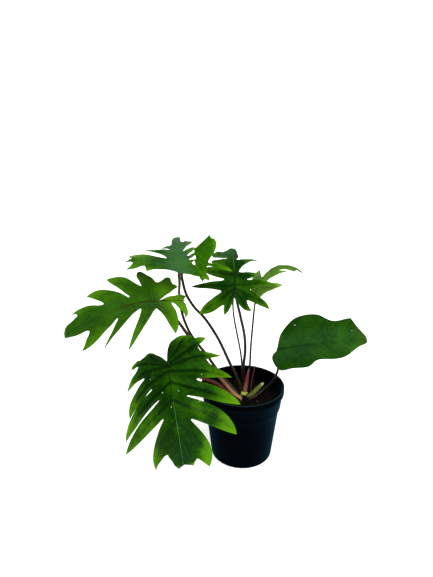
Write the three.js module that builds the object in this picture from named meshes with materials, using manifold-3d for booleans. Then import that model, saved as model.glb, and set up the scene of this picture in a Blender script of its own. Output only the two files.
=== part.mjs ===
// Potted philodendron mayoi: a round nursery pot filled with soil, a short stem with its sheaths,
// and eight leaves, each a thin blade carried by its own petiole.
// Millimetres, +Z up. The origin is the centre of the pot's base. The largest leaf hangs towards -Y.
import * as THREE from 'three';
import { mergeVertices } from 'three/addons/utils/BufferGeometryUtils.js';
import Module from 'manifold-3d';

// Clearance between pieces that touch
const GAP = 0.3;

// Pot
const POT_HEIGHT = 112;
const RIM_RADIUS = 60;
const LIP_HEIGHT = 9;
const BAND_TOP_RADIUS = 57.6;
const BAND_FOOT_RADIUS = 55.4;
const BAND_FOOT_Z = 82;
const WALL_TOP_RADIUS = 52.8;
const WALL_TOP_Z = 75;
const BASE_RADIUS = 44.6;
const CORNER_RADIUS = 5;
const WALL = 1.2;
const FLOOR = 2;
const POT_SIDES = 48;
const DRAIN_HOLES = 6;
const DRAIN_RADIUS = 4;
const DRAIN_CIRCLE_RADIUS = 30;

// Soil and the holes that the stem, sheaths and petioles stand in
const SOIL_Z = 91;
const ROOTED_DEPTH = 7;
const HOLE_CLEARANCE = 0.8;
const HOLE_SIDES = 12;

// Stem
const STEM_FOOT = [3, 4];
const STEM_RADIUS = 4.6;
const STEM_TOP_Z = 97.5;

// Blades: thickness, the cut behind the petiole, and the number of steps of a lobe's mesh
const BLADE_THICKNESS = 0.8;
const SINUS = 2;
const THROAT_STEPS = 2;
const LOBE_STEPS = 3;
const ACROSS_STEPS = 2;
const WHOLE_STEPS = 14;
// Share of a base lobe's inner edge that borders its throat
const BASE_LOBE_THROAT = 0.42;
// How far the root of a lobe's axis is drawn back towards the midrib
const AXIS_DRAW = 0.16;

const PETIOLE_SIDES = 8;

// Looks
const MATERIALS = {
  pot: { color: 0x0d1219, roughness: 0.5, metalness: 0 },
  soil: { color: 0x120d0a, roughness: 1, metalness: 0 },
  stem: { color: 0x8a9a2c, roughness: 0.5, metalness: 0 },
  olive: { color: 0x6c7a22, roughness: 0.5, metalness: 0 },
  pink: { color: 0x9a4a4c, roughness: 0.6, metalness: 0 },
  petiole: { color: 0x38211c, roughness: 0.45, metalness: 0 },
  leaf: { color: 0x2f6a10, roughness: 0.35, metalness: 0 },
  young: { color: 0x74a830, roughness: 0.4, metalness: 0 },
};

// Leaves. A blade is drawn flat and then bent:
//   base        where the midrib meets the petiole
//   heading     compass direction of the midrib in degrees, pitch its rise, roll the turn about it
//   droop, back bend of the midrib, degrees in 100 mm, before and behind the petiole
//   fold        rise of the left and right halves at the midrib, in degrees
//   side        bend of the left and right halves, degrees in 100 mm
//   tip         end of the blade, as distance across and along the midrib
//   ribs        distances along the midrib where the lobes' ribs leave it, from the tip back
//   left, right lobes from the tip back: notch across and along, tip across and along, and the
//               fullness of the lobe's front and back edges
// An uncut blade has no ribs, and its left and right lists are margin points, across and along.
// A petiole stands in the soil at its foot and passes through its route's points.
const LEAVES = {
  front: {
    material: 'leaf',
    base: [-100.7, -56, 173.7], heading: -76, pitch: -36, roll: -24,
    droop: 4, back: 16, fold: [-16, -20], side: [16, 8],
    tip: [8, 130.5], crown: [0, 0], ribs: [104, 94, 78, 50, 27, 12, 5, 2.5, 1],
    left: [
      [1.5, 128.5, 10.5, 131, 0, 0],
      [17, 125, 28, 136, 0, 10],
      [18, 79, 68, 106, 1, 12],
      [18, 49, 82, 70, 2, 6],
      [34, 30, 79, 32, 0, 1],
      [49, 5, 71, -1, 1, 0],
      [43, -13, 56, -31, 0, 2],
      [41, -31, 36, -37, 0, 12.5],
    ],
    right: [
      [12, 126, 15, 120.5, 0, 0],
      [21, 111, 42, 123, -2, 9],
      [18, 69, 91, 89, 2, 7],
      [20, 44, 88, 74, -2, 11],
      [29, 26, 76, 47, -1, 9],
      [40, 6, 76, 9, -1, 2],
      [49, -16, 64, -21, 1, 4],
      [42, -25, 26, -29, 1, 1],
    ],
    petiole: {
      foot: [-5, -14.5], radii: [2.3, 1.9], steps: 16,
      route: [[-14, -16.5, 101], [-39, -22, 126], [-63, -38, 145], [-85, -50, 163]],
    },
  },
  left: {
    material: 'leaf',
    base: [-117.1, -6, 240.4], heading: 209, pitch: 8, roll: 26,
    droop: 42, back: 20, fold: [18, 8], side: [26, 24],
    tip: [-1, 133], crown: [4, 6], ribs: [112, 78, 44, 20, 6, 3, 1.2],
    left: [
      [25, 94, 50, 108, -1, 8],
      [25, 58, 67, 83, 0, 0],
      [18, 28, 82, 59, 0, 2],
      [24, 10, 72, 1, 0, 5],
      [9, -17, 43, -23, -3, 4],
      [3, -39, -12, -50, -1, 3],
    ],
    right: [
      [13, 105, 22, 114, -2, 5],
      [12, 69, 38, 88, -1, 11],
      [11, 35, 56, 55, 2, 8],
      [27, 15, 61, 8, 5, 3],
      [34, -10, 50, -33, 1, 2],
      [35, -34, 30, -42, 0, 1],
    ],
    petiole: {
      foot: [-3.7, -8.5], radii: [2.9, 2], steps: 18,
      route: [
        [-10, -7.5, 98], [-32, -3, 123], [-53, -4, 151], [-76, -6, 190], [-92, -6, 214], [-106, -6, 230],
      ],
    },
  },
  top: {
    material: 'leaf',
    base: [-86.7, -4, 280.3], heading: 97, pitch: 20, roll: -3.5,
    droop: 14.5, back: 40, fold: [-5, -4], side: [16, 20],
    tip: [9, 124], crown: [6, 0], ribs: [84, 64, 46, 28, 16, 9, 4.5],
    left: [
      [7, 78, 23, 71, 0, 0],
      [8, 59, 54, 80, -1, -1.6],
      [15, 36, 70, 60, 6, 1],
      [64, 50, 74, 46, 0, 0],
      [62, 36, 71, 22, 0, 2],
      [46, 22, 43, 9.5, 0, -4.5],
    ],
    right: [
      [9, 92, 27, 107, 4, 1],
      [9, 56, 31, 80, 3, 1],
      [14, 43, 33, 62, 2, 1],
      [16, 33, 33, 41, 0, -1],
      [19, 24, 26, 18, 0, 0],
      [28, 12, 40, -12, 4, -1],
    ],
    petiole: {
      foot: [-5.5, -2.8], radii: [2.2, 1.9], steps: 20,
      route: [
        [-10, -1.5, 101], [-31, 6, 124], [-52, 12, 153], [-74, 21, 180], [-86, 28, 208], [-90, 31, 238],
        [-88, 15, 258],
      ],
    },
  },
  centre: {
    material: 'leaf',
    base: [-12.1, 10.4, 249.9], heading: 90, pitch: 45, roll: -3,
    droop: 38, back: 78, fold: [-11, -12], side: [20, 22],
    tip: [2, 91], crown: [2, 2], ribs: [78, 64, 44, 26, 9, 3.5, 1.2],
    left: [
      [13, 82, 31, 81, 5, 6.5],
      [10, 61, 33, 62, 2, 3],
      [16, 41, 45, 49, 2, 6],
      [15, 18, 64, 16, 2, 1],
      [19, 0, 49, -34, 5, 4],
      [16, -21, 14, -35, 1, 3],
    ],
    right: [
      [7, 74, 8.5, 67, 0, 0],
      [5, 57, 44, 69, 4, -6],
      [7, 33, 32, 39, 0, 4],
      [19, 21, 72, 23, 6, -4],
      [23, 5, 52, -24, 5, 0],
      [18, -13, 25, -28, -1, 8],
    ],
    petiole: {
      foot: [3.5, 13], radii: [2.1, 1.9], steps: 18,
      route: [
        [3, 10.5, 104], [1.5, 8, 133], [3.5, 7, 162], [2, 7, 185], [-4, 8.5, 213], [-8.3, 10, 231],
      ],
    },
  },
  young: {
    material: 'young',
    base: [17.9, 44, 232.2], heading: 48, pitch: 67, roll: 16,
    droop: 100, back: 20, fold: [-8, -50], side: [10, 10],
    tip: [0, 119], crown: [2, 2], ribs: [84, 72, 46, 16, 4],
    left: [
      [8, 94, 18, 84, 1, 2],
      [10.5, 72, 10.5, 60, 0, 1],
      [3, 30, 33, 50, 0, 5],
      [14, 8, 10, 0, 0, 1],
    ],
    right: [
      [7, 97, 11, 89, 0, 0],
      [6, 57, 12, 72, 1, 1],
      [8, 24, 28, 44, 1, 3],
      [15, 9, 9, -1, 0, 1],
    ],
    petiole: {
      foot: [8, 11.5], radii: [1.6, 1.3], steps: 16,
      route: [
        [8.5, 11.5, 110], [11, 12, 136], [12, 14, 165], [14.5, 19, 198], [17, 31, 216], [19.4, 44.7, 225],
      ],
    },
  },
  right: {
    material: 'leaf',
    base: [48.6, -8, 170.8], heading: -4, pitch: 12, roll: -48,
    droop: 16, back: 10, fold: [6, 6], side: [14, 14],
    tip: [3, 125],
    left: [
      [4.5, 124], [17.5, 115.5], [30, 109], [32, 104], [30, 86], [33, 74.5], [41, 63], [43.5, 50], [41, 32.5],
      [34.5, 20.5], [22, 7.5], [11.5, 2],
    ],
    right: [
      [6.5, 121], [11, 108.5], [22, 89.5], [25, 72.5], [23.5, 50], [31, 35], [30.5, 14.5], [31, 0], [26, -6.5],
      [16.5, -10.5], [8.5, -10], [3, -4.5],
    ],
    petiole: {
      foot: [11.5, -8], radii: [1.8, 1.5], steps: 16,
      route: [[16, -8.6, 95.5], [29, -3, 103], [41, -1, 114], [48, -2, 128], [51, -4, 150]],
    },
  },
  behind_top: {
    material: 'leaf',
    base: [-64, 23.5, 282.8], heading: 30, pitch: 60, roll: -50,
    droop: 10, back: 10, fold: [-6, -6], side: [14, 20],
    tip: [-3, 45], crown: [0, 0], ribs: [36, 30, 8, 2.5],
    left: [
      [5.5, 37, 6.5, 34, 0, 0],
      [13, 18, 11, 13, 0, 0],
      [5.5, 8, 6.8, 3.8, 0, 0],
    ],
    right: [
      [2, 42, 6.5, 43, 0, 5],
      [12.5, 10, 48, 13.5, 3.4, 1],
      [14, 5, 16.5, -17.5, 3, 1.5],
    ],
    petiole: {
      foot: [-1, 11.5], radii: [2.2, 1.9], steps: 22,
      route: [
        [-3.3, 10, 106], [-18.7, 9, 142], [-35.2, 10, 179], [-54.5, 12, 209.6], [-68, 13, 224.5],
        [-78.5, 14.5, 242], [-83.4, 15, 260.7], [-84.3, 15.5, 273], [-79, 19.5, 277.3], [-71.5, 25, 278],
      ],
    },
  },
  behind_centre: {
    material: 'young',
    base: [-14, 24, 236], heading: 100, pitch: 20, roll: 0,
    droop: 30, back: 20, fold: [-10, -10], side: [20, 20],
    tip: [0, 50],
    left: [[7, 40], [12, 28], [14, 15], [11, 2], [6, -5]],
    right: [[7, 40], [12, 28], [14, 15], [11, 2], [6, -5]],
    petiole: {
      foot: [0.5, 17.2], radii: [1.4, 1.2], steps: 16,
      route: [
        [0.7, 16, 106], [-0.1, 15, 131.5], [-2.3, 15, 153.5], [-7.6, 17, 181.5], [-12.7, 20, 208.5],
        [-14.1, 23, 226],
      ],
    },
  },
};

// Sheaths that once wrapped young leaves: radii along the route from the foot to the tip
const SHEATHS = {
  sheath_olive: { material: 'olive', foot: [9.8, -1.5], radii: [3.4, 3.4, 3.2, 2.6, 0.8], steps: 12,
    route: [[14, -2.5, 97], [22, -4, 107], [30, -5, 117]] },
  sheath_strand: { material: 'pink', foot: [12.5, 6], radii: [1.1, 0.9, 0.7, 0.5], steps: 10,
    route: [[13, 6.5, 101], [15, 8, 118], [18.5, 10, 137]] },
};
const PINK_SHEATH = { start: [4.2, 4.4], radii: [3.6, 3.9, 3.4, 2.2, 0.8], steps: 12,
  route: [[5.4, 4.2, 108], [7, 3.8, 121], [9, 3.5, 135]] };

const rad = THREE.MathUtils.degToRad;
const wasm = await Module();
wasm.setup();

// A mesh with its own material
function piece(name, geometry, material) {
  geometry.computeVertexNormals();
  const mesh = new THREE.Mesh(geometry, new THREE.MeshStandardMaterial(MATERIALS[material]));
  mesh.name = name;
  return mesh;
}

// The solid of a closed geometry, for cutting
function solid(geometry) {
  const bare = geometry.clone();
  bare.deleteAttribute('normal');
  bare.deleteAttribute('uv');
  const merged = mergeVertices(bare, 1e-4);
  return new wasm.Manifold(new wasm.Mesh({
    numProp: 3,
    vertProperties: merged.attributes.position.array,
    triVerts: new Uint32Array(merged.index.array),
  }));
}

// The geometry of a cut solid
function geometryOf(manifold) {
  const mesh = manifold.getMesh();
  const geometry = new THREE.BufferGeometry();
  geometry.setAttribute('position', new THREE.BufferAttribute(mesh.vertProperties, 3));
  geometry.setIndex(new THREE.BufferAttribute(mesh.triVerts, 1));
  return geometry;
}

// A body of revolution about the Z axis; the profile lists radius and height from the lower end of
// the axis, out and up, to the upper end of the axis
function turned(profile, sides) {
  const geometry = new THREE.LatheGeometry(profile.map(([r, z]) => new THREE.Vector2(r, z)), sides);
  return geometry.rotateX(Math.PI / 2);
}

// Upright cylinder from one height to another
function post([x, y], radius, bottom, top, sides) {
  const geometry = new THREE.CylinderGeometry(radius, radius, top - bottom, sides);
  return geometry.rotateX(Math.PI / 2).translate(x, y, (bottom + top) / 2);
}

// Closed tube along a curve, its radius read from a list spread evenly along the curve
function tube(curve, radii, steps) {
  const frames = curve.computeFrenetFrames(steps, false);
  const positions = [];
  for (let i = 0; i <= steps; i++) {
    const centre = curve.getPointAt(i / steps);
    const place = (i / steps) * (radii.length - 1);
    const k = Math.min(Math.floor(place), radii.length - 2);
    const radius = THREE.MathUtils.lerp(radii[k], radii[k + 1], place - k);
    for (let j = 0; j < PETIOLE_SIDES; j++) {
      const angle = (j / PETIOLE_SIDES) * 2 * Math.PI;
      const point = centre.clone()
        .addScaledVector(frames.normals[i], radius * Math.cos(angle))
        .addScaledVector(frames.binormals[i], radius * Math.sin(angle));
      positions.push(...point.toArray());
    }
  }
  const start = positions.length / 3;
  positions.push(...curve.getPointAt(0).toArray(), ...curve.getPointAt(1).toArray());
  const faces = [];
  for (let j = 0; j < PETIOLE_SIDES; j++) {
    const next = (j + 1) % PETIOLE_SIDES;
    for (let i = 0; i < steps; i++) {
      const low = i * PETIOLE_SIDES;
      const high = low + PETIOLE_SIDES;
      faces.push(low + j, low + next, high + next, low + j, high + next, high + j);
    }
    const last = steps * PETIOLE_SIDES;
    faces.push(start, next, j, start + 1, last + j, last + next);
  }
  const geometry = new THREE.BufferGeometry();
  geometry.setAttribute('position', new THREE.Float32BufferAttribute(positions, 3));
  geometry.setIndex(faces);
  return geometry;
}

// The curve of a petiole or sheath that stands in the soil
function rootedCurve(foot, route) {
  const heights = [SOIL_Z - ROOTED_DEPTH, SOIL_Z - ROOTED_DEPTH / 2, SOIL_Z + 1.5];
  const points = [...heights.map((z) => [...foot, z]), ...route];
  return new THREE.CatmullRomCurve3(points.map((p) => new THREE.Vector3(...p)), false, 'centripetal');
}

// Flat vectors, as [across, along]
const mix = (a, b, t) => [a[0] + (b[0] - a[0]) * t, a[1] + (b[1] - a[1]) * t];
const plus = (a, b, scale) => [a[0] + b[0] * scale, a[1] + b[1] * scale];
const minus = (a, b) => plus(a, b, -1);
const dot = (a, b) => a[0] * b[0] + a[1] * b[1];
const length = (a) => Math.hypot(...a);
const unit = (a) => [a[0] / length(a), a[1] / length(a)];
const fractions = (steps) => Array.from({ length: steps + 1 }, (_, i) => i / steps);

// A point on the Bezier curve of three or four control points
function bezier(points, t) {
  let left = points;
  while (left.length > 1) left = left.slice(1).map((p, i) => mix(left[i], p, t));
  return left[0];
}

// Rungs from the rib to the edge, as rows of points
function loft(rib, edge) {
  return rib.map((p, i) => fractions(ACROSS_STEPS).map((t) => mix(p, edge[i], t)));
}

// One half of a lobed blade as patches: each lobe has a patch before and a patch behind its rib
function lobedHalf(leaf, sign) {
  const rows = sign > 0 ? leaf.right : leaf.left;
  const tips = [leaf.tip, ...rows.map((row) => [sign * row[2], row[3]])];
  const notches = [...rows.map((row) => [sign * row[0], row[1]]), [0, -SINUS]];
  const fullness = {
    front: [0, ...rows.map((row) => row[4])],
    back: [leaf.crown[sign > 0 ? 1 : 0], ...rows.map((row) => row[5])],
  };
  const roots = leaf.ribs.map((along) => [0, along]);
  const last = tips.length - 1;
  const between = (k) => (k === last ? [0, 0] : mix(roots[k], roots[k + 1], 0.5));

  // A lobe's edge, from its notch (t = 0) to its tip (t = 1)
  function edge(k, side, t) {
    const ahead = side === 'front';
    const notch = notches[ahead ? k - 1 : k];
    const other = tips[ahead ? k - 1 : k + 1];
    const away = unit(other ? minus(tips[k], other) : [tips[k][0] * 0.6, tips[k][1]]);
    const chord = minus(tips[k], notch);
    const span = length(chord);
    const normal = [-chord[1] / span, chord[0] / span];
    const inner = k > 0 ? mix(notches[k - 1], notches[k], 0.5) : [0, notch[1]];
    const out = dot(normal, minus(notch, inner)) > 0 ? normal : [-normal[0], -normal[1]];
    const round = plus([0, 0], away, Math.min(0.16 * span, 3.5));
    const swell = 2.4 * fullness[side][k] - 0.6 * Math.max(dot(round, out), 0);
    const shoulder = plus(plus(tips[k], chord, -0.34), out, swell);
    return bezier([notch, plus(notch, round, 1), shoulder, tips[k]], t);
  }

  const patches = [];
  for (let k = 0; k <= last; k++) {
    const sides = k > 0 ? ['back', 'front'] : ['back'];
    const margin = {};
    const middle = {};
    for (const side of sides) {
      const ahead = side === 'front';
      const root = between(ahead ? k - 1 : k);
      const notch = notches[ahead ? k - 1 : k];
      const from = k === last && !ahead ? BASE_LOBE_THROAT : 0;
      const throat = from
        ? fractions(THROAT_STEPS - 1).map((s) => edge(k, side, from * s))
        : fractions(THROAT_STEPS).slice(1).map((s) => mix(root, notch, s));
      const outer = fractions(LOBE_STEPS).map((s) => edge(k, side, from + (1 - from) * s));
      margin[side] = { throat: [root, ...throat], outer };
      middle[side] = edge(k, side, from + (1 - from) * 0.45);
    }
    const rib = k === 0 ? tipRib(roots[0], tips[0]) : lobeRib(roots[k], margin, middle, k === last);
    for (const side of sides) {
      const { throat, outer } = margin[side];
      patches.push({ grid: loft(rib, [...throat, ...outer.slice(1)]), turned: (sign > 0) === (side === 'front') });
    }
  }
  return patches;
}

// The midrib's last stretch, to the blade's tip
function tipRib(root, tip) {
  const throat = mix(root, tip, 0.3);
  return [
    ...fractions(THROAT_STEPS).map((s) => mix(root, throat, s)),
    ...fractions(LOBE_STEPS).slice(1).map((s) => mix(throat, tip, s)),
  ];
}

// A lobe's rib: a curve from the midrib to the throat, then midway between the lobe's two edges
function lobeRib(root, margin, middle, isLast) {
  const axis = margin.back.outer.map((p, i) => mix(p, margin.front.outer[i], 0.5));
  const draw = minus(root, axis[0]);
  const line = axis.map((p, i) => plus(p, draw, AXIS_DRAW * (1 - i / LOBE_STEPS) ** 2));
  const throat = line[0];
  const heading = unit(minus(mix(middle.back, middle.front, 0.5), throat));
  const bent = plus(throat, heading, -0.4 * length(minus(throat, root)));
  const control = mix(mix(root, throat, 0.5), bent, 0.35);
  const spread = isLast ? 1.8 : 1;
  return [
    ...fractions(THROAT_STEPS).map((s) => bezier([root, control, throat], s ** spread)),
    ...line.slice(1),
  ];
}

// One half of an uncut blade: rungs from the midrib to a smooth margin
function wholeHalf(leaf, sign) {
  const points = [...(sign > 0 ? leaf.right : leaf.left)].reverse().map(([across, along]) => [sign * across, along]);
  const outline = [[0, -SINUS], ...points, leaf.tip].map((p) => new THREE.Vector2(...p));
  const spline = new THREE.SplineCurve(outline);
  const margin = fractions(WHOLE_STEPS).map((s) => spline.getPoint(s).toArray());
  margin[0] = [0, 0];
  const rib = fractions(WHOLE_STEPS).map((s) => [leaf.tip[0] * s ** 8, leaf.tip[1] * s ** 1.6]);
  const half = loft(rib, margin);
  // The sinus behind the petiole
  half[0] = half[0].map((p, i) => [0, (-SINUS * i) / ACROSS_STEPS]);
  return [{ grid: half, turned: sign < 0 }];
}

// Axes of a blade at its base: along the midrib, across to its right, and up from its upper face
function bladeAxes({ heading, pitch, roll }) {
  const along = new THREE.Vector3(
    Math.cos(rad(heading)) * Math.cos(rad(pitch)),
    Math.sin(rad(heading)) * Math.cos(rad(pitch)),
    Math.sin(rad(pitch)),
  );
  const level = new THREE.Vector3(Math.sin(rad(heading)), -Math.cos(rad(heading)), 0);
  const upright = new THREE.Vector3().crossVectors(level, along);
  const across = level.clone().multiplyScalar(Math.cos(rad(roll))).addScaledVector(upright, Math.sin(rad(roll)));
  const up = upright.clone().multiplyScalar(Math.cos(rad(roll))).addScaledVector(level, -Math.sin(rad(roll)));
  return { along, across, up };
}

// End of an arc that starts at an angle and turns by a number of degrees in 100 mm
function arc(distance, start, degrees) {
  const bend = rad(degrees) / 100;
  const angle = start + bend * distance;
  return {
    forward: (Math.sin(angle) - Math.sin(start)) / bend,
    rise: (Math.cos(start) - Math.cos(angle)) / bend,
    angle,
  };
}

// The place in space of a flat point of a blade
function bladePoint(leaf, [u, v]) {
  const { along, across, up } = bladeAxes(leaf);
  const ahead = v >= 0 ? 1 : -1;
  const rib = arc(Math.abs(v), 0, -(ahead > 0 ? leaf.droop : leaf.back));
  const half = u >= 0 ? 1 : 0;
  const side = arc(Math.abs(u), rad(leaf.fold[half]), -leaf.side[half]);
  const normal = up.clone().multiplyScalar(Math.cos(rib.angle)).addScaledVector(along, -ahead * Math.sin(rib.angle));
  return new THREE.Vector3(...leaf.base)
    .addScaledVector(along, ahead * rib.forward)
    .addScaledVector(up, rib.rise)
    .addScaledVector(across, Math.sign(u) * side.forward)
    .addScaledVector(normal, side.rise);
}

// A blade's solid: the flat patches are welded and bent, then given their thickness
function bladeGeometry(leaf) {
  const half = leaf.ribs ? lobedHalf : wholeHalf;
  const patches = [...half(leaf, -1), ...half(leaf, 1)];
  const indexOf = new Map();
  const points = [];
  const vertex = (p) => {
    const key = p.map((x) => Math.round(x * 1000)).join();
    if (!indexOf.has(key)) {
      indexOf.set(key, points.length);
      points.push(bladePoint(leaf, p));
    }
    return indexOf.get(key);
  };
  const faces = [];
  for (const { grid, turned: turn } of patches) {
    for (let i = 0; i + 1 < grid.length; i++) {
      for (let j = 0; j < ACROSS_STEPS; j++) {
        const [a, b, c, d] = [grid[i][j], grid[i + 1][j], grid[i + 1][j + 1], grid[i][j + 1]].map(vertex);
        for (const [x, y, z] of [[a, b, c], [a, c, d]]) {
          if (x !== y && y !== z && z !== x) faces.push(turn ? [x, y, z] : [x, z, y]);
        }
      }
    }
  }
  return thickened(points, faces);
}

// Two copies of a surface, half a thickness up and down its normals, joined along the margin
function thickened(points, faces) {
  const sheet = new THREE.BufferGeometry().setFromPoints(points);
  sheet.setIndex(faces.flat());
  sheet.computeVertexNormals();
  const normal = (i) => new THREE.Vector3().fromBufferAttribute(sheet.attributes.normal, i);
  const shifted = (distance) => points.map((p, i) => p.clone().addScaledVector(normal(i), distance));
  const all = [...shifted(BLADE_THICKNESS / 2), ...shifted(-BLADE_THICKNESS / 2)];
  const below = points.length;
  const triangles = [...faces, ...faces.map(([a, b, c]) => [c + below, b + below, a + below])];
  const edges = new Set();
  for (const [a, b, c] of faces) {
    for (const [p, q] of [[a, b], [b, c], [c, a]]) edges.add(`${p},${q}`);
  }
  for (const edge of edges) {
    const [p, q] = edge.split(',').map(Number);
    if (!edges.has(`${q},${p}`)) triangles.push([q, p, p + below], [q, p + below, q + below]);
  }
  const geometry = new THREE.BufferGeometry().setFromPoints(all);
  geometry.setIndex(triangles.flat());
  return geometry;
}

// A petiole ends just under its blade, clear of the drooping halves beside the midrib
function petioleCurve(leaf) {
  const { up } = bladeAxes(leaf);
  const { foot, route, radii } = leaf.petiole;
  const base = new THREE.Vector3(...leaf.base);
  const arrival = base.clone().sub(new THREE.Vector3(...route[route.length - 1])).normalize();
  const radius = radii[radii.length - 1];
  const tilt = Math.sqrt(1 - arrival.dot(up) ** 2);
  const sag = Math.tan(rad(Math.max(0, -Math.min(...leaf.fold))));
  const clearance = BLADE_THICKNESS / 2 + GAP + radius * (tilt + sag);
  const end = base.addScaledVector(up, -clearance);
  return rootedCurve(foot, [...route, end.toArray()]);
}

// Pot: rolled lip, band, tapered wall and rounded corner outside, and the same wall inside
function potGeometry() {
  const lipFoot = POT_HEIGHT - LIP_HEIGHT;
  const wallSlope = (WALL_TOP_RADIUS - BASE_RADIUS) / (WALL_TOP_Z - CORNER_RADIUS);
  const corner = [0, 30, 60, 90].map((degrees) => [
    BASE_RADIUS - CORNER_RADIUS * (1 - Math.sin(rad(degrees))),
    CORNER_RADIUS * (1 - Math.cos(rad(degrees))),
  ]);
  const outside = [
    [0, 0], ...corner, [WALL_TOP_RADIUS, WALL_TOP_Z], [BAND_FOOT_RADIUS, BAND_FOOT_Z],
    [BAND_TOP_RADIUS, lipFoot - 2], [RIM_RADIUS, lipFoot], [RIM_RADIUS, POT_HEIGHT - 0.8],
    [RIM_RADIUS - 0.8, POT_HEIGHT],
  ];
  const inside = [
    [RIM_RADIUS - WALL - 0.8, POT_HEIGHT], [BAND_TOP_RADIUS - WALL, lipFoot - 3],
    [BAND_FOOT_RADIUS - WALL, BAND_FOOT_Z], [WALL_TOP_RADIUS - WALL, WALL_TOP_Z],
    [BASE_RADIUS - WALL + wallSlope, CORNER_RADIUS + FLOOR], [BASE_RADIUS - CORNER_RADIUS, FLOOR], [0, FLOOR],
  ];
  let body = solid(turned([...outside, ...inside], POT_SIDES));
  for (let i = 0; i < DRAIN_HOLES; i++) {
    const angle = (i / DRAIN_HOLES) * 2 * Math.PI;
    const centre = [DRAIN_CIRCLE_RADIUS * Math.cos(angle), DRAIN_CIRCLE_RADIUS * Math.sin(angle)];
    body = body.subtract(solid(post(centre, DRAIN_RADIUS, -1, FLOOR + 1, HOLE_SIDES)));
  }
  return geometryOf(body);
}

// Soil: fills the pot to a little under the band's top, with a hole for each piece that stands in it
function soilGeometry(rooted) {
  const room = WALL + GAP;
  const bandSlope = (BAND_TOP_RADIUS - BAND_FOOT_RADIUS) / (POT_HEIGHT - LIP_HEIGHT - 2 - BAND_FOOT_Z);
  const profile = [
    [0, FLOOR + GAP], [BASE_RADIUS - CORNER_RADIUS - room, FLOOR + GAP],
    [BASE_RADIUS - room, CORNER_RADIUS + FLOOR + GAP], [WALL_TOP_RADIUS - room, WALL_TOP_Z],
    [BAND_FOOT_RADIUS - room, BAND_FOOT_Z + GAP],
    [BAND_FOOT_RADIUS - room + bandSlope * (SOIL_Z - BAND_FOOT_Z), SOIL_Z], [0, SOIL_Z],
  ];
  let body = solid(turned(profile, POT_SIDES));
  for (const { foot, radius } of rooted) {
    const bottom = SOIL_Z - ROOTED_DEPTH - GAP;
    body = body.subtract(solid(post(foot, radius + HOLE_CLEARANCE, bottom, SOIL_Z + 1, HOLE_SIDES)));
  }
  return geometryOf(body);
}

// Stem: a short knob with two leaf scars
function stemGeometry() {
  const profile = [
    [0, SOIL_Z - ROOTED_DEPTH], [STEM_RADIUS, SOIL_Z - ROOTED_DEPTH], [STEM_RADIUS, SOIL_Z + 1],
    [STEM_RADIUS + 0.4, SOIL_Z + 2], [STEM_RADIUS - 0.2, SOIL_Z + 3.2], [STEM_RADIUS, SOIL_Z + 4.6],
    [STEM_RADIUS - 1, STEM_TOP_Z], [0, STEM_TOP_Z],
  ];
  return turned(profile, 16).translate(...STEM_FOOT, 0);
}

function pinkSheathGeometry() {
  const { start, route, radii, steps } = PINK_SHEATH;
  const points = [[...start, STEM_TOP_Z + GAP], [...start, STEM_TOP_Z + 3], ...route];
  const curve = new THREE.CatmullRomCurve3(points.map((p) => new THREE.Vector3(...p)), false, 'centripetal');
  return tube(curve, radii, steps);
}

const plant = new THREE.Group();
const rooted = [{ foot: STEM_FOOT, radius: STEM_RADIUS }];
for (const [name, leaf] of Object.entries(LEAVES)) {
  const { foot, radii, steps } = leaf.petiole;
  plant.add(piece(`blade_${name}`, bladeGeometry(leaf), leaf.material));
  plant.add(piece(`petiole_${name}`, tube(petioleCurve(leaf), radii, steps), 'petiole'));
  rooted.push({ foot, radius: radii[0] });
}
for (const [name, sheath] of Object.entries(SHEATHS)) {
  const { foot, route, radii, steps, material } = sheath;
  plant.add(piece(name, tube(rootedCurve(foot, route), radii, steps), material));
  rooted.push({ foot, radius: radii[0] });
}
plant.add(piece('sheath_pink', pinkSheathGeometry(), 'pink'));
plant.add(piece('stem', stemGeometry(), 'stem'));

const group = new THREE.Group();
group.add(piece('pot', potGeometry(), 'pot'));
group.add(piece('soil', soilGeometry(rooted), 'soil'));
group.add(plant);

export default group;
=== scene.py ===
import math

import bmesh
import bpy
import numpy as np
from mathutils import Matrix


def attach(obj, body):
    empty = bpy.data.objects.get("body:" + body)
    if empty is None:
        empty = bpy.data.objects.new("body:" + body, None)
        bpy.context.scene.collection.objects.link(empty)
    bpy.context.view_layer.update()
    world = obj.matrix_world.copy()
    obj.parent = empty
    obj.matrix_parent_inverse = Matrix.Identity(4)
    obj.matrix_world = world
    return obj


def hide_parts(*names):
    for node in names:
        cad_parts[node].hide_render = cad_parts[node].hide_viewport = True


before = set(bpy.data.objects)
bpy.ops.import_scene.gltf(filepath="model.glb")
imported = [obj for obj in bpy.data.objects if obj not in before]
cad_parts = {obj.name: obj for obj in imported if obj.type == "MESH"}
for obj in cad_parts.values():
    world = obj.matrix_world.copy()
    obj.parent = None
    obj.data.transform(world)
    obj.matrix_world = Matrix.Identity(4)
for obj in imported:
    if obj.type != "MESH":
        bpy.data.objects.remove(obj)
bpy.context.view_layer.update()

MM = 0.001

# The photograph's view, and the image it takes, in pixels
CAMERA_PLACE = (-37.2, -597.8, 447.5)
CAMERA_DOWN = 17.75
IMAGE_HEIGHT = 577
FOCAL_PIXELS = 467
SENSOR = 36.0

# Studio: places in metres, and the world's strength for the plant and for the camera
SUN_PLACE = (0.2, -0.75, 1)
BACK_PLACE = (-0.4, 1.3, 0.9)
PLANT_MIDDLE = (-0.03, 0, 0.2)
FLOOR_REACH = 4.0
WORLD_LIGHT = 0.3
WORLD_SEEN = 1.1

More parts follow.
